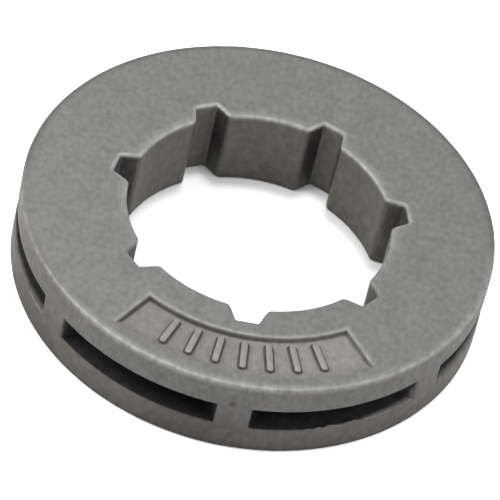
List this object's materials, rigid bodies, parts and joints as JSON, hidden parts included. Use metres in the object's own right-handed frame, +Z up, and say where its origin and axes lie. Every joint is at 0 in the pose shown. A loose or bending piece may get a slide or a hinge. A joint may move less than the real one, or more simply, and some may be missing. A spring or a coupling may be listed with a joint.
{
  "type": "chainsaw rim sprocket",
  "caption": "Flat ring-shaped drive sprocket with a slotted spline bore, and drive-link windows between short teeth in a groove round its rim.",
  "frame": {"origin": "centre of the bottom face, on the bore axis", "axes": "+Z up the bore, out of the face with the sunk panel; -Y through the middle of the panel, a tooth and a spline slot"},
  "size_m": [0.0364, 0.0364, 0.0069],
  "materials": {
    "cast_steel": "bare cast steel, blasted matte grey"
  },
  "bodies": {
    "root": {"rim_sprocket": "cast_steel"}
  },
  "joints": []
}
